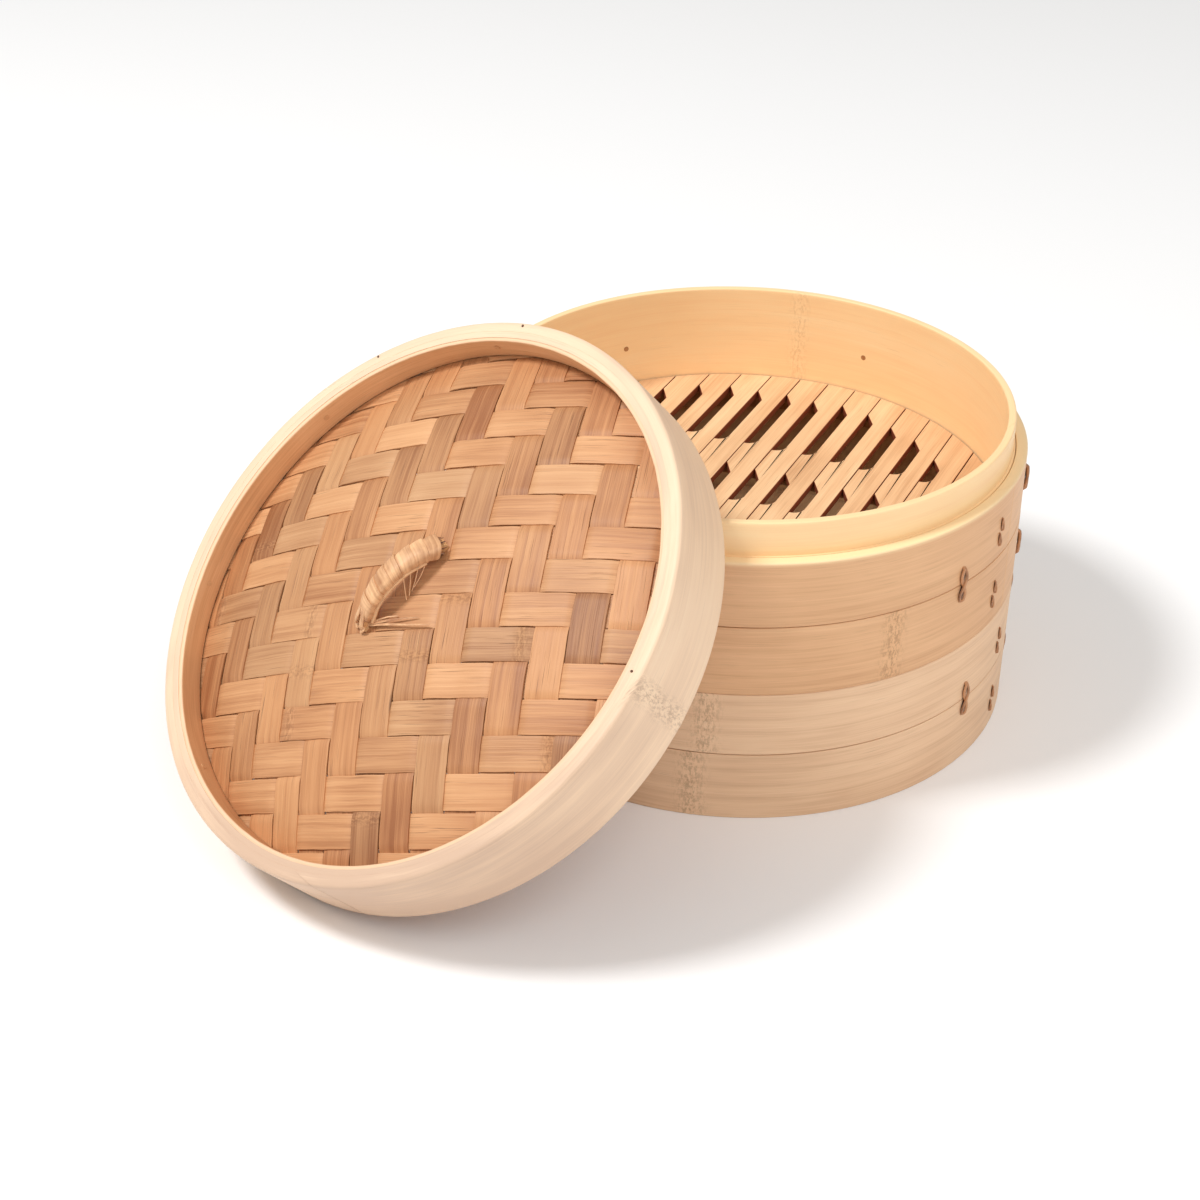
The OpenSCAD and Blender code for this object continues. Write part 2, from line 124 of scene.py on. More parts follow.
def lid_place():
    """The lid's own frame: Z out of the lid, X up its slope, origin in the middle of its mouth."""
    joint = next(j for j in frame["joints"] if j["child"] == "lid")
    out = Vector(joint["axis"]).normalized()
    slope = Vector((0, 1, 0)).cross(out).normalized()
    side = out.cross(slope)
    turn = Matrix((slope, side, out)).transposed()
    spots = [turn.transposed() @ v.co for v in frame["nodes"]["lid_outer_hoop"].data.vertices]
    centre = middle(spots)
    centre.z = min(p.z for p in spots)
    return Matrix.Translation(turn @ centre) @ turn.to_4x4()


LOWER = Matrix.Identity(4)
UPPER = Matrix.Translation((0, 0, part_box("upper_lower_band")[0].z))
LID = lid_place()
LID_OUT = LID.to_3x3() @ UP
TIERS = {"lower": LOWER, "upper": UPPER}


# ---- Meshes ----


def mesh_piece(name, body, nodes, verts, faces, uvs, marks, material, sharp=40, weld=False):
    """A mesh that rides a body in place of some CAD nodes. uvs holds one pair per face corner,
    in metres along and across the grain, and marks lists of one number per vertex. Edges that
    turn more than sharp degrees stay sharp, and weld joins the points that touch."""
    mesh = bpy.data.meshes.new(name)
    mesh.from_pydata(verts, [], faces)
    layer = mesh.uv_layers.new(name="grain")
    layer.data.foreach_set("uv", [c for pair in uvs for c in pair])
    for mark, values in marks.items():
        mesh.attributes.new(mark, "FLOAT", "POINT").data.foreach_set("value", values)
    if weld:
        whole = bmesh.new()
        whole.from_mesh(mesh)
        bmesh.ops.remove_doubles(whole, verts=whole.verts, dist=TOUCHING)
        whole.to_mesh(mesh)
        whole.free()
    mesh.shade_smooth()
    mesh.set_sharp_from_angle(angle=math.radians(sharp))
    mesh.materials.append(material)
    piece = bpy.data.objects.new(name, mesh)
    bpy.context.scene.collection.objects.link(piece)
    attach(piece, body)
    if nodes:
        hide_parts(*nodes)
    return piece


def girths(section):
    """How far round a closed section each of its points lies, and last its whole girth."""
    far = [0.0]
    for p, q in zip(section, section[1:] + section[:1]):
        far.append(far[-1] + math.hypot(q[0] - p[0], q[1] - p[1]))
    return far


def tube(far, girth, end_uvs):
    """Faces and UVs that join copies of a closed section and close both ends. far is how far
    along each copy lies, girth how far round each of its points."""
    n, faces, uvs = len(girth) - 1, [], []
    for i in range(len(far) - 1):
        for j in range(n):
            k = (j + 1) % n
            faces.append((i * n + j, (i + 1) * n + j, (i + 1) * n + k, i * n + k))
            uvs += [(far[i], girth[j]), (far[i + 1], girth[j])]
            uvs += [(far[i + 1], girth[j + 1]), (far[i], girth[j + 1])]
    last = (len(far) - 1) * n
    for end in (list(range(n)), [last + j for j in reversed(range(n))]):
        faces.append(tuple(end))
        uvs += [end_uvs[j % n] for j in end]
    return faces, uvs


def smooth(x):
    """An S-shaped rise from 0 at 0 to 1 at 1, level outside them."""
    x = max(0.0, min(1.0, x))
    return x * x * (3 - 2 * x)


def held(value, most):
    """A value kept between -most and most."""
    return max(-most, min(most, value))


def apart(a, b):
    """The angle from b to a, from half a turn back to half a turn on."""
    return (a - b + math.pi) % TURN - math.pi


def eased(corners, step):
    """A closed outline of (radius, level) points: each corner (radius, level, easing) is rounded
    off over its easing, and the edges between are cut at most a step long."""
    points = []
    count = len(corners)
    for i, (r, z, ease) in enumerate(corners):
        here = Vector((r, z))
        back = (Vector(corners[i - 1][:2]) - here).normalized()
        on = (Vector(corners[(i + 1) % count][:2]) - here).normalized()
        start, end = here + back * ease, here + on * ease
        bends = 4
        for k in range(bends + 1):
            t = k / bends
            points.append(start.lerp(here, t).lerp(here.lerp(end, t), t))
    outline = []
    for i, p in enumerate(points):
        q = points[(i + 1) % len(points)]
        cuts = max(1, math.ceil((q - p).length / step))
        outline += [tuple(p.lerp(q, k / cuts)) for k in range(cuts)]
    return outline


def wave(angle, seed, size):
    """A slow wander round a hoop, at most about size, that meets itself after a full turn."""
    spin = Vector((math.cos(angle), math.sin(angle), 0)) * 1.3
    return size * (noise.noise(spin + Vector((0, 0, seed * 7.3))) * 1.3)


def ragged(u, v, seed, scale):
    """Fine uneven relief between -1 and 1 at a scale given in features per metre."""
    spot = Vector((u * scale, v * scale, seed * 3.1))
    return noise.fractal(spot, 0.9, 2.1, 3)


# How finely a hoop and the nodes of its bamboo are cut up
HOOP_STEPS, KNOT_STEPS = 420, 60
OUTLINE_STEP = 0.9 * MM
# How far the scarf slants between a hoop's two faces, and the gap in it
SCARF_SLANT, KERF = 9 * MM, 0.2 * MM
# A node's ridge: its height, how rough it is and how far its line strays
RIDGE, RIDGE_ROUGH, KNOT_STRAY = 0.06 * MM, 0.12 * MM, 1.2 * MM


def hoop(name, body, nodes, place, corners, seam, material, seed, knots=(), inside=False,
         loose=0.0, slack=0.0, wander=0.0, chipped=0.0, tone=0.0, painted_shade=None, capped=False,
         opened=None):
    """A strip bent into a hoop, its two ends meeting in a slanting scarf at the angle seam.

    knots are the (angle, width) of the bamboo's own nodes, each a rough ridge across the strip,
    on the outside, or on the inside if inside is set. loose is how far the outside wanders, slack
    the inside and wander the top edge. chipped is how rough that edge is, and capped marks it as
    a sawn edge in its own paler colour, partly a painted highlight on the upper bands' ledge.
    tone is the hoop's shade, painted_shade the (angle, amount) of a side of it painted darker as
    shade, and opened the (angle, half width, depth) of a place where the outside has sprung away
    from its neighbour."""
    outline = eased(corners, OUTLINE_STEP)
    r0, r1 = min(p[0] for p in outline), max(p[0] for p in outline)
    z0, z1 = min(p[1] for p in outline), max(p[1] for p in outline)
    turns = [TURN * i / HOOP_STEPS for i in range(HOOP_STEPS + 1)]
    for at, width in knots:
        span = 1.3 * width / r1
        rest = (at - seam) % TURN
        fine = [rest - span + 2 * span * i / KNOT_STEPS for i in range(KNOT_STEPS + 1)]
        turns = [t for t in turns if not rest - span < t < rest + span]
        turns += [t for t in fine if 0 < t < TURN]
    turns.sort()
    verts, scars, tops, tones = [], [], [], []
    slant = SCARF_SLANT / (r1 - r0)
    for t in turns:
        for r, z in outline:
            a = seam + KERF / 2 / r + t * (1 - KERF / (TURN * r)) + slant * (r - (r0 + r1) / 2) / r1
            outward, upward = (r - r0) / (r1 - r0), (z - z0) / (z1 - z0)
            edge = max(0.0, (upward - 0.9) / 0.1)
            dr = (wave(a, seed, loose) - loose) * outward
            dr -= (wave(a, seed + 5, slack) - slack) * (1 - outward)
            dr += chipped * ragged(t * r1, 0, seed, 160) * edge * (1 if outward < 0.5 else 0.4)
            dz = (wave(a, seed + 9, wander) - wander) * upward**3
            dz -= chipped * abs(ragged(t * r1, 5, seed, 90)) * edge
            if opened:
                off = apart(t + seam, opened[0]) / opened[1]
                dr -= opened[2] * max(0.0, 1 - off * off) * outward
            scar = 0.0
            for at, width in knots:
                off = apart(t + seam, at) * r1 + KNOT_STRAY * ragged(0, z, seed + at, 220)
                reach = smooth(1 - abs(off) / width)
                if reach and (outward > 0.5) != inside:
                    scar = max(scar, reach)
                    ridge = reach * (RIDGE + RIDGE_ROUGH * ragged(t * r1 * 1.6, z, seed, 700))
                    dr += -0.5 * ridge if inside else ridge
            scars.append(scar)
            tops.append(max(0.0, (upward - 0.95) / 0.05) * capped)
            # A side of the hoop is painted darker, as shade.
            tones.append(tone - (painted_shade[1] * max(0.0, math.cos(a - painted_shade[0])) ** 2 if painted_shade else 0))
            verts.append(place @ Vector(((r + dr) * math.cos(a), (r + dr) * math.sin(a), z + dz)))
    faces, uvs = tube([t * r1 for t in turns], girths(outline), outline)
    marks = {"scar": scars, "top": tops, "tone": tones}
    return mesh_piece(name, body, nodes, verts, faces, uvs, marks, material)


def ribbon(frames, section):
    """Vertices, faces and UVs of a section swept along frames (spot, across, up, scale).
    section is a closed list of (across, up) points."""
    verts = []
    for spot, across, up, scale in frames:
        verts += [spot + across * x * scale + up * y * scale for x, y in section]
    far = [0.0]
    for a, b in zip(frames, frames[1:]):
        far.append(far[-1] + (b[0] - a[0]).length)
    girth = girths(section)
    faces, uvs = tube(far, girth, [(0.0, round_it) for round_it in girth])
    return verts, faces, uvs


def oval(width, thick, n, square=2.6):
    """A flattened round section of n points, squarer as square grows."""
    spots = []
    for i in range(n):
        a = TURN * i / n
        c, s = math.cos(a), math.sin(a)
        x = math.copysign(abs(c) ** (2 / square), c) * width / 2
        y = math.copysign(abs(s) ** (2 / square), s) * thick / 2
        spots.append((x, y))
    return spots


class Parts:
    """Collects several swept solids into one piece."""

    def __init__(self):
        self.verts, self.faces, self.uvs, self.tones = [], [], [], []

    def add(self, frames, section, tone=0.0, offset=(0.0, 0.0)):
        verts, faces, uvs = ribbon(frames, section)
        start = len(self.verts)
        self.verts += verts
        self.faces += [tuple(start + i for i in f) for f in faces]
        self.uvs += [(u + offset[0], v + offset[1]) for u, v in uvs]
        self.tones += [tone] * len(verts)

    def piece(self, name, body, nodes, material):
        marks = {"tone": self.tones}
        return mesh_piece(name, body, nodes, self.verts, self.faces, self.uvs, marks, material)


def path_frames(spots, up, scales=None):
    """Frames along a list of points, each facing as near to up as the path allows."""
    frames = []
    for i, p in enumerate(spots):
        before, after = spots[max(0, i - 1)], spots[min(len(spots) - 1, i + 1)]
        run = (after - before).normalized()
        across = run.cross(up).normalized()
        frames.append((p, across, across.cross(run).normalized(), scales[i] if scales else 1.0))
    return frames


# ---- Materials ----


def linear(rgb):
    """A colour given as sRGB 0-255, made linear."""
    shares = [c / 255 for c in rgb]
    bent_up = [c / 12.92 if c <= 0.04045 else ((c + 0.055) / 1.055) ** 2.4 for c in shares]
    return (*bent_up, 1.0)


class Shader:
    """A material's node tree, built by calls that take sockets or plain values."""

    def __init__(self, name):
        self.material = bpy.data.materials.new(name)
        self.material.use_nodes = True
        self.tree = self.material.node_tree
        self.surface = next(n for n in self.tree.nodes if n.type == "BSDF_PRINCIPLED")

    def link(self, value, socket):
        if isinstance(value, bpy.types.NodeSocket):
            self.tree.links.new(value, socket)
        elif value is not None:
            socket.default_value = value

    def add(self, kind, inputs=(), **settings):
        node = self.tree.nodes.new(kind)
        for key, value in settings.items():
            setattr(node, key, value)
        for key, value in dict(inputs).items():
            self.link(value, node.inputs[key])
        return node

    def maths(self, operation, a, b=0.0, c=0.0, clamp=False):
        node = self.add("ShaderNodeMath", {0: a, 1: b, 2: c}, operation=operation, use_clamp=clamp)
        return node.outputs[0]

    def swayed(self, base, by, amount):
        """base, raised and lowered by how far a noise is from its middle."""
        return self.maths("MULTIPLY_ADD", self.maths("SUBTRACT", by, 0.5), amount, base)

    def scaled(self, vector, by):
        node = self.add("ShaderNodeVectorMath", {0: vector, 1: by}, operation="MULTIPLY")
        return node.outputs[0]

    def noise(self, vector, scale, detail=2.0, rough=0.5, seed=0.0):
        """A noise whose scale is in features per metre along, across and through a strip."""
        shift = (seed, seed * 1.7, seed * 0.6)
        spot = self.add("ShaderNodeVectorMath", {0: self.scaled(vector, scale), 1: shift})
        inputs = {"Vector": spot.outputs[0], "Scale": 1.0, "Detail": detail, "Roughness": rough}
        return self.add("ShaderNodeTexNoise", inputs).outputs[0]

    def ramp(self, value, low, high):
        """0 at low, 1 at high and smooth between."""
        node = self.add("ShaderNodeMapRange", {0: value, 1: low, 2: high})
        node.interpolation_type = "SMOOTHSTEP"
        return node.outputs[0]

    def mix(self, share, a, b, blend="MIX"):
        node = self.add("ShaderNodeMix", data_type="RGBA", blend_type=blend)
        self.link(share, node.inputs[0])
        self.link(a, node.inputs[6])
        self.link(b, node.inputs[7])
        return node.outputs[2]

    def mark(self, name):
        return self.add("ShaderNodeAttribute", attribute_name=name).outputs["Fac"]

    def finish(self, colour, rough, height, depth):
        """The material, with its colour, its roughness and a relief of a depth in metres."""
        bump = self.add("ShaderNodeBump", {"Strength": 1.0, "Distance": depth, "Height": height})
        self.link(colour, self.surface.inputs["Base Color"])
        self.link(rough, self.surface.inputs["Roughness"])
        self.link(bump.outputs[0], self.surface.inputs["Normal"])
        return self.material


# What weathering multiplies a colour by
FADE = (0.86, 0.93, 1.0, 1.0)


def bamboo(name, pale, mid, deep, grain_turn=None, contrast=1.0, flecks=0.5, rough=0.5, relief=1.0,
           blotch=0.35, seed=0.0, fine=1.0, drift=1.6, marked=1.0, side_shade=None, edge=None):
    """Split bamboo: long fine fibres, wider streaks, dark flecks, and a rough scar at its nodes.

    The grain runs along the mesh's own strip coordinates, or, for a CAD node, along X turned by
    grain_turn. fine is how much finer than usual its fibres are, drift how far they wander, and
    marked how plain its nodes are. side_shade is a dark colour painted as shade on the faces of a
    slat that don't look up, and edge a paler colour for a hoop's sawn top edge, partly a painted
    highlight on the upper bands' ledge. Where the mesh is marked grey it is faded."""
    s = Shader(name)
    if grain_turn is None:
        spot = s.add("ShaderNodeUVMap", uv_map="grain").outputs[0]
    else:
        coords = s.add("ShaderNodeTexCoord").outputs["Object"]
        spot = s.add("ShaderNodeMapping", {0: coords, 2: (0, 0, -grain_turn)}).outputs[0]
    bend = s.noise(spot, (14, 26, 26), 1.0, seed=seed + 3)
    stray = s.maths("MULTIPLY", s.maths("SUBTRACT", bend, 0.5), drift * MM)
    aside = s.add("ShaderNodeCombineXYZ", {1: stray})
    spot = s.add("ShaderNodeVectorMath", {0: spot, 1: aside.outputs[0]}).outputs[0]
    fibres = s.noise(spot, (45, 2300 * fine, 2300 * fine), 2.0, 0.6, seed + 1)
    streaks = s.noise(spot, (8 * fine, 420 * fine, 420 * fine), 3.0, 0.6, seed + 2)
    cloud = s.noise(spot, (22, 60, 60), 2.0, 0.5, seed + 4)
    fleck = s.ramp(s.noise(spot, (70, 3400, 3400), 1.0, 0.5, seed + 5), 0.62, 0.76)
    fleck = s.maths("MULTIPLY", fleck, s.ramp(cloud, 0.35, 0.7))
    scar = s.maths("MULTIPLY", s.mark("scar"), marked)
    shade = s.swayed(0.5, fibres, 1.1 * contrast)
    shade = s.swayed(shade, streaks, 1.5 * contrast)
    shade = s.swayed(shade, cloud, 2.2 * blotch)
    shade = s.maths("ADD", shade, s.mark("tone"), clamp=True)
    ramp = s.add("ShaderNodeValToRGB", {0: shade})
    stops = ramp.color_ramp.elements
    stops[0].position, stops[0].color = 0.05, linear(deep)
    stops[1].position, stops[1].color = 0.95, linear(pale)
    stops.new(0.5).color = linear(mid)
    fleck_share, fleck_colour = s.maths("MULTIPLY", fleck, flecks), linear([c * 0.62 for c in deep])
    colour = s.mix(fleck_share, ramp.outputs[0], fleck_colour)
    # A hoop's top edge is painted paler: the sawn edge's own colour, and on the upper bands' ledge
    # partly a painted highlight.
    if edge:
        colour = s.mix(s.maths("MULTIPLY", s.mark("top"), 0.85), colour, linear(edge))
    colour = s.mix(s.mark("grey"), colour, FADE, "MULTIPLY")
    rough_lines = s.noise(spot, (1100, 520, 520), 3.0, 0.7, seed + 6)
    cracks = s.maths("MULTIPLY", s.ramp(rough_lines, 0.47, 0.60), scar)
    lifts = s.maths("MULTIPLY", s.ramp(rough_lines, 0.50, 0.38), scar)
    colour = s.mix(s.maths("MULTIPLY", cracks, 0.42), colour, linear([c * 0.72 for c in deep]))
    colour = s.mix(s.maths("MULTIPLY", lifts, 0.4), colour, linear(pale))
    if side_shade:
        # The faces of a slat that don't look up are painted dark brown, as shade in its slots.
        normal = s.add("ShaderNodeNewGeometry").outputs["Normal"]
        upward = s.add("ShaderNodeSeparateXYZ", {0: normal}).outputs[2]
        colour = s.mix(s.ramp(upward, 0.35, 0.8), linear(side_shade), colour)
    dull = s.maths("MULTIPLY_ADD", streaks, 0.18, rough - 0.09)
    dull = s.maths("MULTIPLY_ADD", scar, 0.2, dull)
    s.surface.inputs["Specular IOR Level"].default_value = 0.42
    height = s.maths("MULTIPLY_ADD", fibres, 0.6, s.maths("MULTIPLY", streaks, 0.9))
    height = s.maths("MULTIPLY_ADD", fleck, -0.5, height)
    height = s.maths("MULTIPLY_ADD", s.maths("MULTIPLY", rough_lines, scar), 4.0, height)
    return s.finish(colour, dull, height, 0.06 * MM * relief)


def rattan(name, pale, deep, contrast=1.0):
    """Split cane: glossy skin with fine lines along it and darker patches."""
    s = Shader(name)
    spot = s.add("ShaderNodeUVMap", uv_map="grain").outputs[0]
    lines = s.noise(spot, (60, 3000, 1), 2.0, 0.6, 2)
    patch = s.noise(spot, (260, 500, 1), 3.0, 0.6, 5)
    shade = s.swayed(0.5, lines, 1.3 * contrast)
    shade = s.swayed(shade, patch, 1.6 * contrast)
    shade = s.maths("ADD", shade, s.mark("tone"), clamp=True)
    colour = s.mix(shade, linear(deep), linear(pale))
    dull = s.maths("MULTIPLY_ADD", patch, 0.2, 0.4)
    height = s.maths("MULTIPLY_ADD", lines, 1.0, s.maths("MULTIPLY", patch, 1.2))
    return s.finish(colour, dull, height, 0.1 * MM)


def long_way(spots):
    """Angle from X of the long way of some points' plan, between -90 and 90 degrees."""
    mx, my = (sum(p[i] for p in spots) / len(spots) for i in (0, 1))
    xx = sum((p.x - mx) ** 2 for p in spots)
    yy = sum((p.y - my) ** 2 for p in spots)
    xy = sum((p.x - mx) * (p.y - my) for p in spots)
    return 0.5 * math.atan2(2 * xy, xx - yy)


SLAT_TURN = long_way([v.co for v in frame["nodes"]["upper_slat_08"].data.vertices])

# The upper bands' pale top edge is partly a painted highlight along the ledge.
BANDS = {
    "upper": bamboo("band_bamboo", (236, 189, 144), (220, 172, 128), (193, 140, 97), contrast=0.46,
                    flecks=0.35, blotch=0.3, drift=0.7, edge=(255, 228, 180)),
    "lower": bamboo("low_band_bamboo", (242, 206, 169), (227, 188, 151), (200, 157, 121),
                    contrast=0.46, flecks=0.35, blotch=0.3, drift=0.7, seed=5),
}
WALL = bamboo("wall_bamboo", (255, 230, 186), (253, 216, 164), (243, 192, 138), contrast=0.24,
              flecks=0.12, rough=0.42, blotch=0.2, drift=0.7, seed=11, marked=0.55)
RIM = bamboo("rim_bamboo", (247, 222, 190), (238, 206, 174), (208, 176, 150), contrast=0.28,
             flecks=0.22, blotch=0.36, seed=23)
RIM_LINER = bamboo("rim_liner_bamboo", (238, 190, 144), (218, 164, 116), (188, 130, 86),
                   contrast=0.5, flecks=0.4, seed=29, edge=(240, 206, 170))
WEFT = bamboo("weft_bamboo", (222, 169, 121), (202, 146, 100), (165, 108, 68), contrast=0.62,
              flecks=0.65, rough=0.52, relief=1.6, seed=31, fine=1.5)
WARP = bamboo("warp_bamboo", (214, 158, 109), (195, 137, 91), (154, 97, 59), contrast=0.62,
              flecks=0.75, rough=0.52, relief=1.6, seed=37, fine=1.5)


# ---- The tiers ----


def tier_hoops(tier, seed):
    """The inner hoop and the two outer hoops of one tier, each at its CAD node's own radii."""
    place, body = TIERS[tier], f"{tier}_tier"
    inner, upper, lower = (f"{tier}_{n}" for n in ("inner_hoop", "upper_band", "lower_band"))
    band_in, out_r, seam_z, ledge = measure(upper, place)
    in_r, body_r, stop, top = measure(inner, place)
    lip_r = measure(inner, place, low=ledge + 1 * MM)[1]
    socket_r, _, foot, low_top = measure(lower, place)
    laps = [middle(spots) for spots in islands(f"{tier}_lap_stitches", place)]
    ends = min(math.atan2(p.y, p.x) for p in laps) + math.radians(3)
    rest, snug = ledge - 0.05 * MM, stop - 0.05 * MM
    hoop(f"{tier}_inner_hoop_bent", body, [inner], place, [
        (in_r, stop, 0.4 * MM), (body_r, stop, 0.1 * MM), (body_r, rest, 0.05 * MM),
        (lip_r, rest, 0.05 * MM), (lip_r, top, 0.8 * MM), (in_r, top, 0.7 * MM),
    ], math.radians(150) + seed, WALL, seed, KNOTS[inner], inside=True, slack=0.05 * MM,
         wander=0.25 * MM, chipped=0.05 * MM)
    hoop(f"{tier}_upper_band_bent", body, [upper], place, [
        (band_in, seam_z, 0.1 * MM), (out_r, seam_z, 0.28 * MM), (out_r, ledge, 0.8 * MM),
        (band_in, ledge, 0.4 * MM),
    ], ends, BANDS[tier], seed + 1, KNOTS[upper], loose=0.12 * MM, tone=0.03, chipped=0.03 * MM,
         capped=tier == "upper")
    hoop(f"{tier}_lower_band_bent", body, [lower], place, [
        (socket_r, foot, 0.3 * MM), (out_r, foot, 0.45 * MM), (out_r, low_top, 0.28 * MM),
        (band_in, low_top, 0.1 * MM), (band_in, snug, 0.02 * MM), (socket_r, snug, 0.02 * MM),
    ], ends + math.radians(1), BANDS[tier], seed + 2, KNOTS[lower], loose=0.12 * MM, tone=-0.03)


def turned(*marks):
    """(angle, width) pairs given in degrees and millimetres."""
    return [(math.radians(angle), width * MM) for angle, width in marks]


# The bamboo's own nodes on each hoop: where they stand and how wide they are
KNOTS = {
    "upper_inner_hoop": turned((34.5, 6)),
    "upper_upper_band": turned((28, 7)),
    "upper_lower_band": turned((-106.3, 7), (70, 7)),
    "lower_inner_hoop": turned((-140, 6)),
    "lower_upper_band": turned((-142.5, 7.5), (35, 7)),
    "lower_lower_band": turned((-144.9, 8), (118, 7)),
    "lid_outer_hoop": turned((-85, 6.5), (62, 7)),
}
for index, tier in enumerate(TIERS):
    tier_hoops(tier, 1.7 + index)


def soften(node, width):
    """Eases the edges of a CAD node by a modifier, as worn sawn bamboo is."""
    o = frame["nodes"][node]
    weld = o.modifiers.new("weld", "WELD")
    weld.merge_threshold = TOUCHING
    bevel = o.modifiers.new("ease", "BEVEL")
    bevel.width = width
    bevel.segments = 2
    bevel.limit_method = "ANGLE"
    bevel.angle_limit = math.radians(50)
    normals = o.modifiers.new("normals", "WEIGHTED_NORMAL")
    normals.keep_sharp = False


def dress(node, material):
    """Gives a CAD node its material."""
    mesh = frame["nodes"][node].data
    mesh.materials.clear()
    mesh.materials.append(material)


SLATS = 16
WORN_EDGE = 0.3 * MM
SLAT_BLOTCHES = [0.50, 0.32, 0.42, 0.56, 0.38]
# Every slat's faces that don't look up are painted dark, as shade in the slots.
slat_looks = [
    bamboo(f"slat_bamboo_{i}", (244, 208, 162), (229, 184, 138), (194, 143, 99),
           grain_turn=SLAT_TURN, contrast=0.5, flecks=0.35, rough=0.55, blotch=blotch,
           seed=41 + 3 * i, side_shade=(138, 66, 38))
    for i, blotch in enumerate(SLAT_BLOTCHES)
]
BAR = bamboo("bar_bamboo", (232, 190, 140), (214, 166, 114), (180, 130, 84),
             grain_turn=SLAT_TURN + math.pi / 2, contrast=0.8, flecks=0.5, seed=61)
RING = bamboo("ring_bamboo", (240, 196, 144), (222, 172, 118), (190, 138, 88), grain_turn=0,
              contrast=0.3, flecks=0.1, seed=67)
PEG = bamboo("peg_bamboo", (196, 146, 98), (172, 120, 76), (130, 84, 48), grain_turn=0,
             contrast=0.6, seed=71)
for tier in TIERS:
    for i in range(SLATS):
        dress(f"{tier}_slat_{i + 1:02d}", slat_looks[3 * i % len(slat_looks)])
        soften(f"{tier}_slat_{i + 1:02d}", WORN_EDGE)
    dress(f"{tier}_cross_bars", BAR)
    soften(f"{tier}_cross_bars", WORN_EDGE)
    dress(f"{tier}_floor_ring", RING)
    dress(f"{tier}_pegs", PEG)


# ---- The lid's rim ----

lid_in, lid_r, _, lid_h = measure("lid_outer_hoop", LID)
mid_in, mid_out, mid_low, mid_top = measure("lid_inner_hoop", LID)
clamp_in, clamp_out, clamp_low, clamp_top = measure("lid_clamp_strip", LID)
# Where the clamp strip has sprung off the hoop, and the lid's low side, painted darker as shade
sprung = (math.radians(-88), math.radians(22), 0.45 * MM)
low_side_shade = (math.radians(-150), 0.45)
hoop("lid_outer_hoop_bent", "lid", ["lid_outer_hoop"], LID, [
    (lid_in, 0, 0.3 * MM), (lid_r, 0, 1.0 * MM),
    (lid_r, lid_h, 1.5 * MM), (lid_in, lid_h, 0.05 * MM),
], math.radians(200), RIM, 7.1, KNOTS["lid_outer_hoop"], loose=0.25 * MM, wander=0.3 * MM,
     chipped=0.12 * MM, painted_shade=low_side_shade)
hoop("lid_inner_hoop_bent", "lid", ["lid_inner_hoop"], LID, [
    (mid_in - 0.1 * MM, mid_low, 0.1 * MM), (mid_out + 0.12 * MM, mid_low, 0.1 * MM),
    (mid_out + 0.3 * MM, mid_top, 0.04 * MM), (mid_in - 0.15 * MM, mid_top, 0.04 * MM),
], math.radians(60), RIM, 7.1, wander=0.3 * MM, chipped=0.08 * MM, tone=-0.04, painted_shade=low_side_shade)
hoop("lid_clamp_strip_bent", "lid", ["lid_clamp_strip"], LID, [
    (clamp_in, clamp_low, 0.3 * MM), (clamp_out, clamp_low, 0.1 * MM),
    (clamp_out + 0.2 * MM, clamp_top, 0.04 * MM), (clamp_in, clamp_top, 0.7 * MM),
], math.radians(300), RIM_LINER, 7.1, slack=0.2 * MM, wander=0.3 * MM, chipped=0.12 * MM,
     painted_shade=low_side_shade, capped=True, opened=sprung)


# ---- The lid's weave ----

_, weave_r, _, weave_top = measure("lid_weft_strips", LID)


def level_near(node, r_from):
    """Highest level of a node's vertices further than r_from from the lid's axis."""
    spots = [LID.inverted() @ v.co for v in frame["nodes"][node].data.vertices]
    return max(p.z for p in spots if math.hypot(p.x, p.y) > r_from)


RIM_CLEAR = 0.3 * MM
WOVEN = ("lid_weft_strips", "lid_warp_strips")
rise = weave_top - max(level_near(n, weave_r - RIM_CLEAR) for n in WOVEN)
dome_r = (weave_r**2 + rise**2) / (2 * rise)
DOME = LID @ Matrix.Translation((0, 0, weave_top - dome_r))
central_weft = min(islands("lid_weft_strips", DOME), key=lambda spots: middle(spots).xy.length)
DOME = DOME @ Matrix.Rotation(long_way(central_weft), 4, "Z")


def strip_rolls(node, axis):
    """Angles about the dome's middle by which a set of strips is rolled, in order."""
    rolls = []
    for spots in islands(node, DOME):
        near = sorted(spots, key=lambda p: abs(p[1 - axis]))[: max(8, len(spots) // 6)]
        turns = [math.atan2(p[axis], math.hypot(p[1 - axis], p.z)) for p in near]
        rolls.append((min(turns) + max(turns)) / 2)
    return sorted(rolls)


def regular(rolls):
    """The same rolls made evenly spaced, because the outermost strips are cut short by the rim."""
    inner = [dome_r * math.sin(r) for r in rolls[2:-2]]
    pitch = (inner[-1] - inner[0]) / (len(inner) - 1)
    return [math.asin((inner[0] + (i - 2) * pitch) / dome_r) for i in range(len(rolls))], pitch


weft_rolls, pitch = regular(strip_rolls("lid_weft_strips", 1))
warp_rolls, _ = regular(strip_rolls("lid_warp_strips", 0))
STRIP_T = 0.7 * MM
LAYER = 0.85 * MM
# Half the angle that a strip is laid over before the rim cuts it off, and its rows of points
STRIP_HALF, STRIP_STEPS = 0.34, 250
# Its points across, as shares of its width, and the length in which it changes layer
STRIP_ACROSS = [-0.5, -0.47, -0.38, -0.2, 0, 0.2, 0.38, 0.47, 0.5]
STRIP_RISE = 5.2 * MM
UNEVEN = 0.12 * MM


def weft_over(weft, warp):
    """True where a weft passes over a warp: over two and under two, one further on each row."""
    return (warp - weft - 1) % 4 < 2


